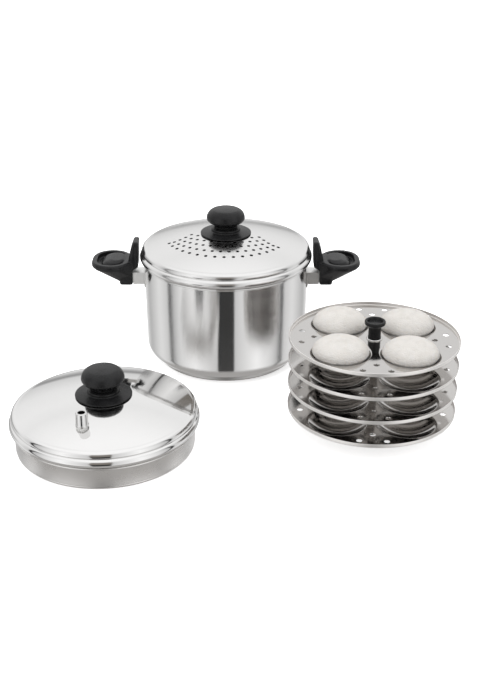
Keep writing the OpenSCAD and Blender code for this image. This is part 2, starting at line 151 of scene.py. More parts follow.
# the table top in front of the tent, and a plain pale backdrop behind the set
w_down = wnode("ShaderNodeMapRange", interpolation_type="SMOOTHSTEP")
w_down.inputs["From Min"].default_value = -0.62
w_down.inputs["From Max"].default_value = -0.74
wt.links.new(w_sep.outputs["Z"], w_down.inputs["Value"])
w_low = wnode("ShaderNodeMix", data_type="RGBA")
wt.links.new(w_down.outputs["Result"], w_low.inputs["Factor"])
wt.links.new(w_mix.outputs["Result"], w_low.inputs["A"])
w_low.inputs["B"].default_value = (0.44, 0.43, 0.42, 1.0)
w_seen = wnode("ShaderNodeMix", data_type="RGBA")
w_path = wnode("ShaderNodeLightPath")
wt.links.new(w_path.outputs["Is Camera Ray"], w_seen.inputs["Factor"])
wt.links.new(w_low.outputs["Result"], w_seen.inputs["A"])
w_seen.inputs["B"].default_value = (0.96, 0.96, 0.96, 1.0)
wt.links.new(w_seen.outputs["Result"], w_bg.inputs["Color"])
w_bg.inputs["Strength"].default_value = 1.0
wt.links.new(w_bg.outputs[0], w_out.inputs[0])


def area(name, loc, size, power, aim=(0, -0.1, 0.05), glossy=False):
    d = bpy.data.lights.new(name, "AREA")
    d.shape = "DISK"
    d.size = size
    d.energy = power
    o = bpy.data.objects.new(name, d)
    o.location = loc
    o.rotation_euler = (Vector(aim) - Vector(loc)).to_track_quat("-Z", "Y").to_euler()
    o.visible_glossy = glossy
    scene.collection.objects.link(o)
    return o


area("roof", (0.0, -0.15, 2.2), 2.6, 46.0)
area("left_fill", (-1.6, -1.5, 1.3), 1.4, 12.0)
area("right_fill", (1.7, -1.2, 1.1), 1.2, 7.0)

# ---------------------------------------------------------------- materials


class Mat:
    """A material and short ways of adding nodes to it."""

    def __init__(self, name):
        self.m = bpy.data.materials.new(name)
        self.m.use_nodes = True
        self.t = self.m.node_tree
        self.t.nodes.clear()
        self.out = self.t.nodes.new("ShaderNodeOutputMaterial")
        self.b = self.t.nodes.new("ShaderNodeBsdfPrincipled")
        self.t.links.new(self.b.outputs[0], self.out.inputs[0])
        self.co = self.t.nodes.new("ShaderNodeTexCoord").outputs["Object"]

    def node(self, kind, **kw):
        n = self.t.nodes.new(kind)
        for k, v in kw.items():
            setattr(n, k, v)
        return n

    def link(self, a, b):
        self.t.links.new(a, b)

    def put(self, socket, v):
        if isinstance(v, (int, float, tuple)):
            socket.default_value = v
        else:
            self.link(v, socket)

    def math(self, op, a, b=None, clamp=False):
        n = self.node("ShaderNodeMath", operation=op)
        n.use_clamp = clamp
        for i, v in enumerate((a, b)):
            if v is not None:
                self.put(n.inputs[i], v)
        return n.outputs[0]

    def vec(self, op, a, b):
        n = self.node("ShaderNodeVectorMath", operation=op)
        self.put(n.inputs[0], a)
        if b is not None:
            self.put(n.inputs[1], b)
        return n.outputs[0]

    def noise(self, scale, detail=3.0, rough=0.5, co=None, distortion=0.0):
        n = self.node("ShaderNodeTexNoise")
        self.link(co or self.co, n.inputs["Vector"])
        n.inputs["Scale"].default_value = scale
        n.inputs["Detail"].default_value = detail
        n.inputs["Roughness"].default_value = rough
        n.inputs["Distortion"].default_value = distortion
        return n.outputs[0]

    def voronoi(self, scale, co=None, feature="F1", rand=1.0):
        n = self.node("ShaderNodeTexVoronoi", feature=feature)
        self.link(co or self.co, n.inputs["Vector"])
        n.inputs["Scale"].default_value = scale
        n.inputs["Randomness"].default_value = rand
        return n.outputs["Distance"]

    def range(self, v, a, b, lo, hi):
        n = self.node("ShaderNodeMapRange")
        self.link(v, n.inputs["Value"])
        n.inputs["From Min"].default_value = a
        n.inputs["From Max"].default_value = b
        n.inputs["To Min"].default_value = lo
        n.inputs["To Max"].default_value = hi
        return n.outputs["Result"]

    def ramp(self, v, stops, interp="LINEAR"):
        return ramp(self.t, v, stops, interp)

    def bump(self, height, strength, distance, normal=None):
        n = self.node("ShaderNodeBump")
        self.link(height, n.inputs["Height"])
        n.inputs["Strength"].default_value = strength
        n.inputs["Distance"].default_value = distance
        if normal is not None:
            self.link(normal, n.inputs["Normal"])
        return n.outputs["Normal"]

    def round_co(self, cx, cy):
        """(turn, radius, height) about an upright axis: turn 0 to 1, lengths in metres."""
        s = self.node("ShaderNodeSeparateXYZ")
        self.link(self.vec("SUBTRACT", self.co, (cx * MM, cy * MM, 0.0)), s.inputs[0])
        turn = self.math("DIVIDE", self.math("ARCTAN2", s.outputs[0], s.outputs[1]), 2 * math.pi)
        rr = self.math("SQRT", self.math("ADD", self.math("MULTIPLY", s.outputs[0], s.outputs[0]),
                                         self.math("MULTIPLY", s.outputs[1], s.outputs[1])))
        return turn, rr, s.outputs[2]

    def combine(self, x, y, z):
        n = self.node("ShaderNodeCombineXYZ")
        for i, v in enumerate((x, y, z)):
            self.put(n.inputs[i], v)
        return n.outputs[0]

    def set(self, **kw):
        for k, v in kw.items():
            self.put(self.b.inputs[k.replace("_", " ")], v)
        return self


def steel(name, base, rough, cx=None, cy=0.0, lines=0.0, around=False, spread=0.05, wave=0.0, streak=1.0, smear=0.0,
          edge=None, painted_shade_inside=None):
    """Polished or brushed steel. lines is the strength of the fine marks of turning or brushing about (cx, cy).
    edge = (radius, rough, gain) is a duller surface outside a radius, whose base colour is raised by gain as a painted
    highlight; the last argument, (radius, factor), is painted shade, a base colour darkened by factor inside a radius,
    in mm."""
    m = Mat(name)
    smudge = m.noise(26.0, 4.0, 0.6)
    fine = m.noise(420.0, 2.0, 0.6)
    if cx is not None:
        turn, rr, zz = m.round_co(cx, cy)
        if around:
            co = m.combine(m.math("MULTIPLY", m.math("SINE", m.math("MULTIPLY", turn, math.pi)), 7.0 * streak),
                           m.math("MULTIPLY", rr, 2600.0), m.math("MULTIPLY", zz, 3400.0))
        else:
            co = m.combine(m.math("MULTIPLY", m.math("SINE", m.math("MULTIPLY", turn, math.pi)), 5.0 * streak),
                           m.math("MULTIPLY", rr, 2200.0), m.math("MULTIPLY", zz, 1400.0))
        marks = m.noise(1.0, 3.0, 0.65, co)
    else:
        marks = m.noise(900.0, 2.0, 0.5)
    colour = m.node("ShaderNodeMix", data_type="RGBA")
    m.link(m.math("ADD", m.math("MULTIPLY", smudge, 0.5), m.math("MULTIPLY", marks, 0.5)), colour.inputs["Factor"])
    colour.inputs["A"].default_value = (base[0] * 0.94, base[1] * 0.94, base[2] * 0.94, 1)
    colour.inputs["B"].default_value = (min(base[0] * 1.04, 1), min(base[1] * 1.04, 1), min(base[2] * 1.04, 1), 1)
    tint = colour.outputs["Result"]
    # painted shade: inside the radius about the axis the base colour is darkened
    if painted_shade_inside:
        tint = m.vec("MULTIPLY", tint, m.range(rr, painted_shade_inside[0] * MM, (painted_shade_inside[0] + 0.4) * MM, painted_shade_inside[1], 1.0))
    # painted highlight: the base colour is raised by gain outside the radius; the roughness further down makes the same
    # band duller
    if edge:
        tint = m.vec("MULTIPLY", tint, m.range(rr, (edge[0] - 0.4) * MM, edge[0] * MM, 1.0, edge[2]))
    m.link(tint, m.b.inputs["Base Color"])
    r = m.math("ADD", m.range(smudge, 0.3, 0.7, rough - spread * 0.5, rough + spread * 0.5),
               m.range(marks, 0.2, 0.8, -spread * 0.3, spread * 0.3))
    if edge:
        r = m.math("ADD", r, m.range(rr, (edge[0] - 0.4) * MM, edge[0] * MM, 0.0, edge[1] - rough))
    m.link(m.math("MAXIMUM", r, 0.02), m.b.inputs["Roughness"])
    n = m.bump(fine, 0.04, 0.00002)
    if lines:
        n = m.bump(marks, lines, 0.00005, n)
    if wave:
        n = m.bump(m.noise(11.0, 1.0, 0.4), wave, 0.0006, n)
    m.link(n, m.b.inputs["Normal"])
    m.set(Metallic=1.0)
    m.set(IOR=1.5)
    if smear:
        # the marks of turning run round the piece: their tiny facets tip up and down, so reflections are drawn out upright
        facet = m.node("ShaderNodeTexWhiteNoise", noise_dimensions="3D")
        m.link(m.vec("MULTIPLY", m.co, (7919.0, 7919.0, 7919.0)), facet.inputs["Vector"])
        parts = m.node("ShaderNodeSeparateXYZ")
        m.link(facet.outputs["Color"], parts.inputs[0])
        tip = m.math("MULTIPLY", m.math("SUBTRACT", m.math("ADD", parts.outputs[0], parts.outputs[1]), 1.0), smear)
        tipped = m.vec("NORMALIZE", m.vec("ADD", n, m.combine(0.0, 0.0, tip)), None)
        m.link(tipped, m.b.inputs["Normal"])
    return m.m


def phenolic(name):
    m = Mat(name)
    grain = m.noise(1500.0, 3.0, 0.6)
    cloud = m.noise(60.0, 3.0, 0.5)
    m.link(m.ramp(cloud, [(0.3, (0.006, 0.006, 0.0065)), (0.7, (0.011, 0.011, 0.0115))]), m.b.inputs["Base Color"])
    m.link(m.math("ADD", m.range(grain, 0.3, 0.7, 0.24, 0.33), m.range(cloud, 0.3, 0.7, -0.03, 0.03)), m.b.inputs["Roughness"])
    m.link(m.bump(cloud, 0.03, 0.0004, m.bump(grain, 0.10, 0.00003)), m.b.inputs["Normal"])
    m.set(IOR=1.5)
    m.b.inputs["Specular IOR Level"].default_value = 0.24
    return m.m


def idli_mat(name):
    m = Mat(name)
    pores = m.voronoi(620.0)
    pores2 = m.voronoi(1350.0)
    cloud = m.noise(120.0, 4.0, 0.6)
    grain = m.noise(1900.0, 3.0, 0.7)
    # painted shade in the pores: the base colour is darker towards the middle of each pore cell, where the bump below
    # sinks
    pit = m.math("SUBTRACT", 1.0, m.range(pores, 0.0, 0.42, 0.0, 1.0))
    col = m.node("ShaderNodeMix", data_type="RGBA")
    m.link(m.math("MULTIPLY", m.range(pit, 0.3, 1.0, 0.0, 1.0), m.range(cloud, 0.42, 0.62, 0.15, 1.0)), col.inputs["Factor"])
    base = m.ramp(m.math("ADD", m.math("MULTIPLY", cloud, 0.6), m.math("MULTIPLY", grain, 0.4)),
                  [(0.25, (0.375, 0.356, 0.336)), (0.5, (0.44, 0.424, 0.404)), (0.75, (0.475, 0.462, 0.444))])
    m.link(base, col.inputs["A"])
    col.inputs["B"].default_value = (0.34, 0.32, 0.295, 1)
    m.link(col.outputs["Result"], m.b.inputs["Base Color"])
    m.link(m.range(grain, 0.2, 0.8, 0.62, 0.92), m.b.inputs["Roughness"])
    n = m.bump(pores, 0.35, 0.0006)
    n = m.bump(pores2, 0.25, 0.0003, n)
    n = m.bump(grain, 0.30, 0.0002, n)
    m.link(n, m.b.inputs["Normal"])
    m.b.inputs["Subsurface Weight"].default_value = 0.12
    m.b.inputs["Subsurface Radius"].default_value = (0.004, 0.003, 0.002)
    m.b.inputs["Subsurface Scale"].default_value = 1.0
    m.set(IOR=1.4)
    return m.m


def plain(name, lo, hi, rough, metallic, scale=300.0, bump=0.08):
    m = Mat(name)
    n = m.noise(scale, 3.0, 0.6)
    m.link(m.ramp(n, [(0.3, lo), (0.7, hi)]), m.b.inputs["Base Color"])
    m.link(m.range(n, 0.2, 0.8, rough - 0.06, rough + 0.06), m.b.inputs["Roughness"])
    m.link(m.bump(n, bump, 0.0001), m.b.inputs["Normal"])
    m.set(Metallic=metallic)
    return m.m


TX, TY = -134.5, -238.5
RX, RY = 170.0, -194.0
pot_steel = steel("pot_steel", (0.80, 0.795, 0.79), 0.07, 0, 0, lines=0.05, around=True, spread=0.03, wave=0.015, smear=0.17)
lid_steel = steel("lid_steel", (0.81, 0.805, 0.80), 0.17, 0, 0, lines=0.05, spread=0.06)
vent_steel = steel("vent_steel", (0.84, 0.835, 0.83), 0.07, TX, TY, lines=0.03, spread=0.04, wave=0.05)
tray_steel = steel("tray_steel", (0.78, 0.765, 0.75), 0.30, TX, TY, lines=0.22, around=True, spread=0.12)
base_steel = steel("base_steel", (0.50, 0.49, 0.48), 0.40, 0, 0, lines=0.10, around=True, spread=0.08)
# the plate rims: duller, and lighter by a painted highlight in the base colour
plate_steel = steel("plate_steel", (0.61, 0.595, 0.58), 0.10, RX, RY, lines=0.05, spread=0.06, wave=0.05, edge=(95.6, 0.42, 1.5))
rack_steel = steel("rack_steel", (0.60, 0.585, 0.57), 0.16, RX, RY, lines=0.10, around=True)
fit_steel = steel("fitting_steel", (0.76, 0.755, 0.75), 0.16, spread=0.08)
# the bore of the vent tube is painted shade: its base colour is darkened to a tenth inside 3.9 mm
nipple_steel = steel("nipple_steel", (0.76, 0.755, 0.75), 0.12, TX - 16.5, TY - 64.0, lines=0.06, around=True,
                     spread=0.06, painted_shade_inside=(3.9, 0.10))
bracket_steel = steel("bracket_steel", (0.86, 0.86, 0.85), 0.34, spread=0.06)
black = phenolic("black_phenolic")
cake = idli_mat("idli")
core = plain("core_aluminium", (0.62, 0.62, 0.63), (0.72, 0.72, 0.73), 0.4, 1.0)
brass = plain("insert_brass", (0.55, 0.38, 0.14), (0.66, 0.48, 0.20), 0.3, 1.0)
seal = plain("seal_rubber", (0.52, 0.52, 0.51), (0.60, 0.60, 0.59), 0.5, 0.0, 900.0, 0.1)

# ---------------------------------------------------------------- mesh tools


def arc(cx, cy, r, a0, a1, n):
    return [(cx + r * math.cos(math.radians(a0 + (a1 - a0) * i / n)),
             cy + r * math.sin(math.radians(a0 + (a1 - a0) * i / n))) for i in range(n + 1)]


def rounded(points, n=5):
    """A closed outline with some corners rounded: points are (x, y) or (x, y, radius)."""
    out = []
    m = len(points)
    for i, p in enumerate(points):
        if len(p) < 3 or p[2] <= 0:
            out.append((p[0], p[1]))
            continue
        a, b, c = Vector(points[i - 1][:2]), Vector(p[:2]), Vector(points[(i + 1) % m][:2])
        u, v = (a - b), (c - b)
        lu, lv = u.length, v.length
        u, v = u / lu, v / lv
        ang = u.angle(v)
        d = min(p[2] / math.tan(ang / 2), lu * 0.49, lv * 0.49)
        r = d * math.tan(ang / 2)
        bis = (u + v).normalized()
        centre = b + bis * (r / math.sin(ang / 2))
        s, e = b + u * d, b + v * d
        a0 = math.atan2(s.y - centre.y, s.x - centre.x)
        a1 = math.atan2(e.y - centre.y, e.x - centre.x)
        while a1 - a0 > math.pi:
            a1 -= 2 * math.pi
        while a1 - a0 < -math.pi:
            a1 += 2 * math.pi
        for k in range(n + 1):
            t = a0 + (a1 - a0) * k / n
            out.append((centre.x + r * math.cos(t), centre.y + r * math.sin(t)))
    return out


def finish_mesh(name, verts, faces, mat, body, replaced=(), sharp=32.0, normals=None, double=True):
    me = bpy.data.meshes.new(name)
    me.from_pydata([(x * MM, y * MM, z * MM) for x, y, z in verts], [], faces)
    me.update()
    if normals is None:
        bm = bmesh.new()
        bm.from_mesh(me)
        bmesh.ops.recalc_face_normals(bm, faces=bm.faces)
        bm.to_mesh(me)
        bm.free()
        for p in me.polygons:
            p.use_smooth = True
        me.set_sharp_from_angle(angle=math.radians(sharp))
    else:
        for p in me.polygons:
            p.use_smooth = True
        me.normals_split_custom_set(normals)
    me.materials.append(mat)
    ob = bpy.data.objects.new(name, me)
    scene.collection.objects.link(ob)
    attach(ob, body)
    if replaced:
        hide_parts(*replaced)
    return ob


def lathe(name, profile, mat, body, replaced=(), at=(0, 0, 0), seg=192, sharp=32.0):
    """A closed outline in (radius, height), turned about an upright axis at `at`. Points at radius 0 are on the axis."""
    verts, rings = [], []
    for r, z in profile:
        if r < 1e-6:
            rings.append([len(verts)])
            verts.append((at[0], at[1], at[2] + z))
        else:
            first = len(verts)
            for k in range(seg):
                a = 2 * math.pi * k / seg
                verts.append((at[0] + r * math.cos(a), at[1] + r * math.sin(a), at[2] + z))
            rings.append(list(range(first, first + seg)))
    faces = []
    n = len(rings)
    for i in range(n):
        a, b = rings[i], rings[(i + 1) % n]
        if len(a) == 1 and len(b) == 1:
            continue
        for k in range(seg):
            j = (k + 1) % seg
            if len(a) == 1:
                faces.append((a[0], b[j], b[k]))
            elif len(b) == 1:
                faces.append((a[k], a[j], b[0]))
            else:
                faces.append((a[k], a[j], b[j], b[k]))
    return finish_mesh(name, verts, faces, mat, body, replaced, sharp)


def offset_path(path, t):
    """The path moved t to the right-hand side of its direction of travel."""
    out = []
    for i in range(len(path)):
        a, b = Vector(path[max(i - 1, 0)]), Vector(path[min(i + 1, len(path) - 1)])
        d = (b - a).normalized()
        out.append((path[i][0] + t * d.y, path[i][1] - t * d.x))
    return out


def pierced(name, height, r_in, r_out, holes, thick, rim, mat, body, replaced=(), at=(0, 0, 0),
            seg=192, step=4.0, extra=(), hole_seg=20):
    """A sheet with round holes. height(x, y) is its upper face, thick its thickness. rim is the outline in (radius,
    height) that joins the upper face's edge at r_out to the lower face's edge. extra holds further rings of points."""
    def grad(x, y):
        h = 0.02
        return Vector(((height(x + h, y) - height(x - h, y)) / (2 * h), (height(x, y + h) - height(x, y - h)) / (2 * h)))

    def normal(x, y):
        g = grad(x, y)
        return Vector((-g.x, -g.y, 1.0)).normalized()

    pts, edges = [], []

    def loop(cx, cy, r, n, constrain, turn=0.0):
        first = len(pts)
        for k in range(n):
            a = 2 * math.pi * k / n + turn
            pts.append((cx + r * math.cos(a), cy + r * math.sin(a)))
            if constrain:
                edges.append((first + k, first + (k + 1) % n))
        return first

    loop(0, 0, r_out, seg, True)
    inner_n = 48 if r_in > 0 else 0
    if r_in > 0:
        loop(0, 0, r_in, inner_n, True)
    for hx, hy, hr in holes:
        loop(hx, hy, hr, hole_seg, True)
    for ex, ey, er, en in extra:
        first = len(pts)
        loop(ex, ey, er, en, False)
        keep = []
        for p in pts[first:]:
            if all((p[0] - hx) ** 2 + (p[1] - hy) ** 2 > (hr + 0.5) ** 2 for hx, hy, hr in holes) \
                    and r_in + 0.6 < math.hypot(*p) < r_out - 1.0:
                keep.append(p)
        del pts[first:]
        pts.extend(keep)
    rings = max(2, int((r_out - r_in) / step))
    for i in range(1, rings):
        r = r_in + (r_out - r_in) * i / rings
        n = max(12, int(2 * math.pi * r / step))
        for k in range(n):
            a = 2 * math.pi * (k + 0.5 * (i % 2)) / n
            x, y = r * math.cos(a), r * math.sin(a)
            if any((x - hx) ** 2 + (y - hy) ** 2 < (hr + step * 0.35) ** 2 for hx, hy, hr in holes):
                continue
            if any(abs(math.hypot(x - ex, y - ey) - er) < step * 0.3 for ex, ey, er, en in extra):
                continue
            pts.append((x, y))
    co, _, tris, ov, _, _ = delaunay_2d_cdt([Vector(p) for p in pts], edges, [], 0, 1e-5)
    use = []
    for f in tris:
        cx = sum(co[i].x for i in f) / 3
        cy = sum(co[i].y for i in f) / 3
        if r_in > 0 and math.hypot(cx, cy) < r_in * 0.9990:
            continue
        if any((cx - hx) ** 2 + (cy - hy) ** 2 < (hr * 0.9990) ** 2 for hx, hy, hr in holes):
            continue
        a, b, c = (co[i] for i in f)
        if (b - a).cross(c - a) < 0:
            f = tuple(reversed(f))
        use.append(tuple(f))
    used = sorted(set(i for f in use for i in f))
    index = {v: k for k, v in enumerate(used)}
    m = len(used)
    verts, vn = [], []
    for v in used:
        x, y = co[v].x, co[v].y
        verts.append((x, y, height(x, y)))
        vn.append(normal(x, y))
    for k in range(m):
        n = vn[k]
        verts.append((verts[k][0] - n.x * thick, verts[k][1] - n.y * thick, verts[k][2] - n.z * thick))
    faces, normals = [], []
    for f in use:
        t = tuple(index[i] for i in f)
        faces.append(t)
        normals += [vn[i] for i in t]
        faces.append(tuple(i + m for i in reversed(t)))
        normals += [-vn[i] for i in reversed(t)]
    # walls of the holes: boundary edges of the triangles that aren't on the outer loop
    count = {}
    for f in use:
        for i in range(3):
            a, b = f[i], f[(i + 1) % 3]
            count[(a, b)] = count.get((a, b), 0) + 1
    border = [(a, b) for (a, b) in count if (b, a) not in count]
    centres = list(holes) + ([(0.0, 0.0, r_in)] if r_in > 0 else [])
    outer = {}
    for a, b in border:
        mid = (co[a] + co[b]) / 2
        if mid.length > r_out * 0.995:
            outer[index[a]] = index[b]
            continue
        hx, hy, hr = min(centres, key=lambda c: abs(math.hypot(mid.x - c[0], mid.y - c[1]) - c[2]))
        ia, ib = index[a], index[b]
        faces.append((ib, ia, ia + m, ib + m))
        na = Vector((hx - co[a].x, hy - co[a].y, 0)).normalized()
        nb = Vector((hx - co[b].x, hy - co[b].y, 0)).normalized()
        normals += [nb, na, na, nb]
    # the rim: rings between the two outer loops
    start = max(outer, key=lambda k: verts[k][0])
    order = [start]
    while outer[order[-1]] != start:
        order.append(outer[order[-1]])
    angs = [math.atan2(verts[i][1], verts[i][0]) for i in order]
    top = (r_out, height(r_out, 0))
    nn = normal(r_out, 0)
    bottom = (r_out - nn.x * thick, top[1] - nn.z * thick)
    prof = [top] + list(rim) + [bottom]
    rings = [order]
    for r, z in rim:
        first = len(verts)
        for a in angs:
            verts.append((r * math.cos(a), r * math.sin(a), z))
        rings.append(list(range(first, first + len(order))))
    rings.append([i + m for i in order])
    # outline normals, shared where the outline turns gently
    seg_n = []
    for i in range(len(prof) - 1):
        d = (Vector(prof[i + 1]) - Vector(prof[i])).normalized()
        seg_n.append(Vector((-d.y, d.x)))
    sign = 1.0 if seg_n[0].dot(Vector((nn.x, nn.z))) > 0 else -1.0
    seg_n = [n * sign for n in seg_n]
    cosl = math.cos(math.radians(34))
    for i in range(len(prof) - 1):
        n0 = (Vector((nn.x, nn.z)) if i == 0 else
              (seg_n[i - 1] + seg_n[i]).normalized() if seg_n[i - 1].dot(seg_n[i]) > cosl else seg_n[i])
        n1 = (Vector((-nn.x, -nn.z)) if i == len(prof) - 2 else
              (seg_n[i] + seg_n[i + 1]).normalized() if seg_n[i].dot(seg_n[i + 1]) > cosl else seg_n[i])
        a, b = rings[i], rings[i + 1]
        for k in range(len(order)):
            j = (k + 1) % len(order)
            faces.append((a[k], b[k], b[j], a[j]))
            ck, sk, cj, sj = math.cos(angs[k]), math.sin(angs[k]), math.cos(angs[j]), math.sin(angs[j])
            normals += [Vector((n0.x * ck, n0.x * sk, n0.y)), Vector((n1.x * ck, n1.x * sk, n1.y)),
                        Vector((n1.x * cj, n1.x * sj, n1.y)), Vector((n0.x * cj, n0.x * sj, n0.y))]
    verts = [(x + at[0], y + at[1], z + at[2]) for x, y, z in verts]
    return finish_mesh(name, verts, faces, mat, body, replaced, normals=normals)


def remould(node, name, voxel, passes, mat, body):
    """A smooth-edged copy of a CAD solid: the moulded form with its corners eased."""
    me = nodes[node].data.copy()
    bm = bmesh.new()
    bm.from_mesh(me)
    bmesh.ops.remove_doubles(bm, verts=bm.verts, dist=2e-6)
    bm.to_mesh(me)
    bm.free()
    if me.has_custom_normals:
        me.free_normals_split() if hasattr(me, "free_normals_split") else None
    ob = bpy.data.objects.new(name, me)
    scene.collection.objects.link(ob)
    r = ob.modifiers.new("remesh", "REMESH")
    r.mode = "VOXEL"
    r.voxel_size = voxel * MM
    s = ob.modifiers.new("smooth", "SMOOTH")
    s.factor = 0.5
    s.iterations = passes
    dg = bpy.context.evaluated_depsgraph_get()
    done = bpy.data.meshes.new_from_object(ob.evaluated_get(dg))
    ob.modifiers.clear()
    ob.data = done
    done.materials.clear()
    done.materials.append(mat)
    for p in done.polygons:
        p.use_smooth = True
        p.material_index = 0
    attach(ob, body)
    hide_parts(node)
    return ob


# ---------------------------------------------------------------- pot
POT_R, POT_H, BASE_T, CORNER = 104.0, 132.0, 6.4, 17.0
BASE_R = POT_R - 15.5
low = POT_R - 1.2
out = [(0, BASE_T)] + arc(low - CORNER, BASE_T + CORNER, CORNER, -90, 0, 28) + \
      [(POT_R - 0.9, BASE_T + CORNER + 14), (POT_R - 0.55, BASE_T + CORNER + 30), (POT_R - 0.25, BASE_T + CORNER + 46),
       (POT_R - 0.04, BASE_T + CORNER + 62), (POT_R, BASE_T + CORNER + 76), (POT_R, POT_H - 12.0), (POT_R, POT_H - 4.0),
       (POT_R, POT_H - 3.3), (POT_R, POT_H - 3.0)]
rim = arc(POT_R + 0.4, POT_H - 1.3, 1.3, -135, 90, 14)
inside = [(POT_R - 0.45, POT_H - 0.12), (POT_R - 0.8, POT_H - 0.6), (POT_R - 0.8, POT_H - 3.0), (POT_R - 0.8, 95),
          (POT_R - 1.05, BASE_T + CORNER + 46), (POT_R - 1.7, BASE_T + CORNER + 14)]
inside += [(x, y) for x, y in arc(low - CORNER, BASE_T + CORNER, CORNER - 0.8, 0, -90, 28)] + [(0, BASE_T + 0.8)]
lathe("pot_body", out + rim + inside, pot_steel, "pot", ["pot_shell"], seg=256, sharp=40)
cap = [(0, 0), (BASE_R - 16, 0), (BASE_R - 14, 0.15), (BASE_R - 2.6, 0.15)] + arc(BASE_R - 2.6, 2.75, 2.6, -90, 0, 10) + \
      [(BASE_R, 5.3), (BASE_R - 0.4, 5.9), (BASE_R - 0.4, BASE_T - 0.02), (BASE_R - 1.6, BASE_T - 0.02),
       (BASE_R - 1.6, 0.9), (0, 0.9)]
lathe("base_skin", cap, base_steel, "pot", ["base_cap"], seg=256, sharp=30)

for s, side in ((-1, "left"), (1, "right")):
    remould("grip_" + side, "grip_moulding_" + side, 0.75, 5, black, "pot")

# ---------------------------------------------------------------- lids
LID_RISE, SHEET = 35.0, 0.8
LID_Z, VENT_Z = POT_H + 0.3, 27.6 + 0.3
K2 = 214.0 / 219.0


def lid_rs(k):
    return ((101.2 * k) ** 2 + 16.2 ** 2) / (2 * 16.2)


def lid_shell(name, k, plug, holes, mat, body, node, at):
    rs = lid_rs(k)

    def height(x, y):
        return LID_RISE - rs + math.sqrt(rs * rs - x * x - y * y)

    edge = 98.0 * k
    path = [(r, LID_RISE - rs + math.sqrt(rs * rs - r * r)) for r in (edge, 99.2 * k, 100.0 * k)]
    path += arc(101.2 * k, 13.2, 5.6, 84, -26, 26)
    path += arc(104 * k, 5.5, 5.5, 60, -84, 34)
    path += [(plug + 1.4, 0.03)] + arc(plug + 1.0, -1.0, 1.0, 100, 170, 6) + [(plug, -1.6), (plug, -4.5), (plug, -6.8)]
    inner = offset_path(path, SHEET)
    edge_round = [(plug - 0.12, -7.0), (plug - SHEET + 0.12, -7.0)]
    rim = path[1:] + edge_round + list(reversed(inner[1:]))
    return pierced(name, height, 2.6, edge, holes, SHEET, rim, mat, body, [node], at, seg=224, step=5.0)


holes = []
turn = math.radians(-6.0)
for k, n in enumerate((16, 15, 14, 12, 10)):
    r = 76.0
    half = math.asin((68.5 - 6.4 * k) / r)
    for i in range(n):
        a = -half + 2 * half * i / (n - 1)
        x, y = r * math.sin(a), 12.3 * k - 69 + r - r * math.cos(a)
        if math.hypot(x, y) > 21:
            holes.append((x * math.cos(turn) - y * math.sin(turn), x * math.sin(turn) + y * math.cos(turn), 2.1))
lid_shell("strainer_lid_shell", 1.0, POT_R - 1.6, holes, lid_steel, "strainer_lid", "strainer_shell", (0, 0, LID_Z))
VX, VY = -16.5, -64.0
lid_shell("vented_lid_shell", K2, 101.5 - 1.8, [(VX, VY, 4.1)], vent_steel, "vent_lid", "vent_shell", (TX, TY, VENT_Z))


def knob_set(tag, body, at):
    cap = [(0, 31.0), (5, 30.95), (9, 30.6)] + arc(48.5 / 2 - 11.5, 19.3, 11.5, 76, 18, 12) + \
        arc(48.5 / 2 - 6, 19.8, 6, 10, -66, 10) + \
        [(18.2, 13.3), (16.8, 12.0), (15.6, 10.9), (14.9, 9.8), (14.6, 8.8), (14.6, 7.9), (14.2, 7.3), (4.55, 7.3), (4.55, 21.3), (0, 21.3)]
    lathe(tag + "_knob_cap", cap, black, body, [tag + "_knob"], at, seg=128, sharp=38)
    g = 32.0
    guard = rounded([(3.2, 0.35), (14, 0.1), (g - 0.6, -0.95, 0.3), (g, -0.5, 0.3), (g - 0.3, 0.5, 0.5), (23, 1.6, 6), (18.8, 2.4, 1.2),
                     (18.2, 3.4, 0.5), (18.4, 4.8, 0.8), (18, 6.2, 0.8), (15.6, 7.2, 0.8), (3.2, 7.2)], 6)
    lathe(tag + "_guard_disc", guard, black, body, [tag + "_knob_guard"], at, seg=128, sharp=38)
    wash = rounded([(2.65, -2.1), (11, -2.4, 0.3), (11, -1.4, 0.3), (2.65, -0.9)], 4)
    lathe(tag + "_lid_washer", wash, fit_steel, body, [tag + "_knob_washer"], at, seg=96)


knob_set("strainer", "strainer_lid", (0, 0, LID_Z + LID_RISE))
knob_set("vent", "vent_lid", (TX, TY, VENT_Z + LID_RISE))

vrs = lid_rs(K2)
VTZ = LID_RISE - vrs + math.sqrt(vrs * vrs - VX * VX - VY * VY)
tube = rounded([(2.6, -9.0, 0.3), (4.0, -9.0, 0.5), (4.0, 1.65), (7.3, 1.65, 0.3), (7.3, 3.85, 0.6), (6.9, 3.9, 0.3), (6.6, 16.8, 0.8),
                (5.8, 17.65, 0.5), (3.8, 17.65, 0.5), (3.8, 12.0, 0.3), (2.0, 12.0, 0.2), (2.0, 3.2), (2.6, 3.2)], 5)
lathe("vent_nipple", tube, nipple_steel, "vent_lid", ["vent_tube"], (TX + VX, TY + VY, VENT_Z + VTZ), seg=96)

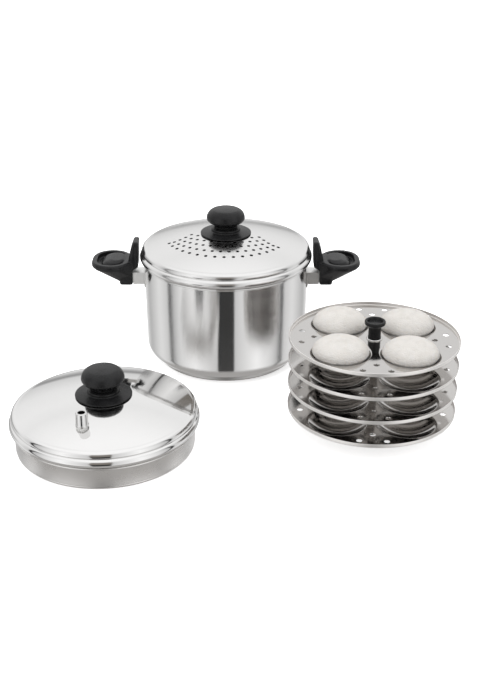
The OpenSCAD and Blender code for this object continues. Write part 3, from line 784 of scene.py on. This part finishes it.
# ---------------------------------------------------------------- tray
TR, TH = 101.5, 27.6
holes = []
for ring in range(1, 7):
    for i in range(6 * ring):
        a = math.radians(i * 60 / ring + 10 * ring)
        holes.append((14.5 * ring * math.cos(a), 14.5 * ring * math.sin(a), 3.0))
rim = [(96.6, 0.8)] + arc(TR - 4.0, 4.0, 3.2, -90, -4, 10) + [(TR - 0.8, 5.2), (TR - 0.8, TH - 2.6), (TR - 0.8, TH - 0.9)] + \
    [(TR - 0.6, TH - 0.3), (TR, TH - 0.02)] + arc(TR + 1.25, TH - 1.45, 1.2, 80, -100, 12) + \
    [(TR + 0.35, TH - 2.65), (TR, TH - 3.3), (TR, 5.2), (TR - 0.15, 4.5), (TR - 0.5, 4.1)] + \
    arc(TR - 3.6, 3.2, 3.2, 5, -90, 10) + [(97.0, 0.0)]
pierced("tray_body", lambda x, y: 0.8, 0.0, 96.0, holes, 0.8, rim, tray_steel, "tray", ["steam_tray"], (TX, TY, 0),
        seg=224, step=6.0, hole_seg=24)

# ---------------------------------------------------------------- rack
PR, RIM = 97.0, 4.0
PIT_R, PIT_D, PIT_C = 34.0, 13.0, 54.5
RTURN = -4.0
PRS = (PIT_R ** 2 + PIT_D ** 2) / (2 * PIT_D)


def deck(k):
    return 27.0 + 28.8 * (k - 1) - RIM


pits = [(PIT_C * math.cos(math.radians(a + RTURN)), PIT_C * math.sin(math.radians(a + RTURN))) for a in (45, 135, 225, 315)]


def plate_height(x, y):
    z = 0.0
    for px, py in pits:
        d = math.hypot(x - px, y - py)
        if d < PIT_R + 6:
            b = PRS - PIT_D - math.sqrt(PRS * PRS - d * d)
            h = max(1.1 - abs(b), 0.0) / 1.1
            z = min(z, min(0.0, b) - h * h * 1.1 / 4)
    return z


holes = []
for a in (0, 90, 180, 270):
    for r, t in ((68, 0), (82, -15.2), (82, 15.2)):
        c, s = math.cos(math.radians(a + RTURN)), math.sin(math.radians(a + RTURN))
        holes.append((r * c - t * s, r * s + t * c, 3.4))
extra = []
for px, py in pits:
    for r, n in ((31.0, 72), (32.2, 80), (33.0, 96), (33.7, 96), (34.3, 96), (35.0, 96), (35.8, 96)):
        extra.append((px, py, r, n))
rim = [(95.2, 0.0)] + arc(95.3, 0.8, 0.8, -80, 0, 6) + [(96.1, 1.2), (96.1, 3.5)] + arc(96.55, 3.55, 0.45, 180, 0, 8) + \
    [(97.0, 3.4), (97.0, 1.0)] + arc(95.4, 0.8, 1.6, 0, -86, 8) + [(94.8, -0.8)]
for k in (1, 2, 3, 4):
    pierced("rack_plate_%d" % k, plate_height, 3.35, 94.0, holes, 0.8, rim, plate_steel,
            {1: "rack", 2: "tier_2", 3: "tier_3", 4: "tier_4"}[k], ["plate_%d" % k], (RX, RY, deck(k)),
            seg=192, step=4.0, extra=extra, hole_seg=24)
for k in (1, 2, 3):
    z0, z1 = 0.02, 28.8 - 0.8 - 0.02
    ring = rounded([(3.35, z0), (6, z0, 0.4), (6, z1, 0.4), (3.35, z1)], 4)
    lathe("spacer_tube_%d" % k, ring, rack_steel, "tier_%d" % (k + 1), ["spacer_%d" % k], (RX, RY, deck(k)), seg=96)
foot_top = deck(1) - 0.83
foot = [(29, 0.25), (29, 1.2)] + arc(26.4, 1.4, 2.6, 0, 80, 8) + [(20, 5.4), (14.5, 6.4), (12, 7.0), (10, 8.4), (8.6, 10), (7.9, 12), (7.6, 14), (7.6, foot_top),
        (3.1, foot_top), (3.1, 7.2), (8, 7.2), (11.4, 5.6), (19, 4.2), (25.8, 2.6), (27.4, 1.4), (27.6, 0.2), (27.8, 0), (28.8, 0)]
lathe("rack_foot_dish", foot, rack_steel, "rack", ["rack_foot"], (RX, RY, 0), seg=128)

hz = deck(4)
tube = rounded([(0, 17.6), (4.55, 14.2), (4.55, 0.0), (7.0, 0.0, 0.3), (7.5, 0.6, 0.4), (7.1, 3.0, 1.5), (7.1, 13.4, 2.0), (8.0, 15.0, 1.2), (11.0, 16.4, 1.5),
                (11.9, 17.4, 0.8), (11.9, 20.2, 0.8), (11.2, 21.0, 0.5), (9.6, 21.0, 0.6), (8.8, 19.6, 0.6), (8.2, 17.6, 0.5)], 5)
tube = [(0, 14.2)] + tube[1:] + [(0, 17.6)]
lathe("grip_tube", tube, black, "rack_grip", ["rack_handle"], (RX, RY, hz + 1.34), seg=96, sharp=38)
ring = rounded([(3.4, 0.0), (9, 0.0, 0.2), (9, 0.8, 0.3), (8.4, 1.3, 0.4), (3.4, 1.3)], 4)
lathe("grip_washer", ring, fit_steel, "handle_seat", ["rack_handle_washer"], (RX, RY, hz + 0.02), seg=96)


# ---------------------------------------------------------------- idlis
def idli(n):
    ang = math.radians(-135 + 90 * (n - 1) + RTURN)
    cx, cy = RX + PIT_C * math.cos(ang), RY + PIT_C * math.sin(ang)
    cr, rise, low_r = PIT_R - 2.0, 17.0, PRS - 0.45
    prof = []
    for i in range(0, 41):
        a = math.radians(90 - 90 * i / 40)
        prof.append((cr * math.cos(a), 0.75 + rise * math.sin(a) ** 1.05 if a > 0 else 0.75))
    below = []
    for i in range(1, 17):
        r = (cr - 0.35) * (1 - i / 16)
        below.append((r, 0.12 + PRS - PIT_D - math.sqrt(low_r * low_r - r * r)))
    prof += below
    seg = 168
    verts, rings = [], []
    for i, (r, z) in enumerate(prof):
        ring = []
        m = 1 if r < 1e-6 else seg
        for k in range(m):
            t = 2 * math.pi * k / seg
            x, y = r * math.cos(t), r * math.sin(t)
            if i <= 40:
                u = r / cr
                p = Vector((x * 0.06 + 7.3 * n, y * 0.06, z * 0.06))
                lump = noise.noise(p) * 0.5 + noise.noise(p * 2.7) * 0.25
                q = Vector((x * 0.42 + 3.1 * n, y * 0.42, z * 0.42))
                pore = noise.turbulence(q, 3, True, noise_basis="BLENDER")
                edge = max(0.0, (u - 0.72) / 0.28)
                dz = lump * 0.7 * (1 - 0.3 * u) - abs(pore) * (0.16 + 0.42 * edge)
                k2 = 1 - (abs(pore) * 0.010 * edge + 0.004 * (1 + noise.noise(Vector((math.cos(t) * 2.2, math.sin(t) * 2.2, 5.0 * n))))) * (1 if i else 0)
                if i == 40:
                    dz = 0.0
                x, y, z2 = x * k2, y * k2, max(z + dz, 0.45)
            else:
                z2 = z
            ring.append(len(verts))
            verts.append((cx + x, cy + y, hz + z2))
        rings.append(ring)
    faces = []
    for a, b in zip(rings[:-1], rings[1:]):
        for k in range(seg):
            j = (k + 1) % seg
            if len(a) == 1:
                faces.append((a[0], b[k], b[j]))
            elif len(b) == 1:
                faces.append((a[k], b[0], a[j]))
            else:
                faces.append((a[k], b[k], b[j], a[j]))
    finish_mesh("idli_cake_%d" % n, verts, faces, cake, "idlis", ["idli_%d" % n], sharp=70)


for n in (1, 2, 3, 4):
    idli(n)

# ---------------------------------------------------------------- carried-over CAD nodes
for name, o in nodes.items():
    if o.hide_render:
        continue
    if name == "base_core":
        m = core
    elif name.endswith("insert"):
        m = brass
    elif name == "vent_gasket":
        m = seal
    elif name in ("bracket_left", "bracket_right"):
        m = bracket_steel
    else:
        m = fit_steel
    if not o.data.materials:
        o.data.materials.append(m)
    for s in o.material_slots:
        s.material = m

# ---------------------------------------------------------------- floor
me = bpy.data.meshes.new("floor")
me.from_pydata([(-14, -14, -0.0006), (14, -14, -0.0006), (14, 14, -0.0006), (-14, 14, -0.0006)], [], [(0, 1, 2, 3)])
floor = bpy.data.objects.new("floor", me)
fm = Mat("floor")
fn = fm.noise(3.0, 2.0, 0.5)
fm.link(fm.ramp(fn, [(0.3, (0.93, 0.93, 0.93)), (0.7, (0.95, 0.95, 0.95))]), fm.b.inputs["Base Color"])
fm.set(Roughness=0.9)
fm.b.inputs["Specular IOR Level"].default_value = 0.1
fm.b.inputs["Emission Color"].default_value = (1.0, 1.0, 1.0, 1.0)
fm.b.inputs["Emission Strength"].default_value = 0.55
me.materials.append(fm.m)
scene.collection.objects.link(floor)
floor.visible_glossy = False
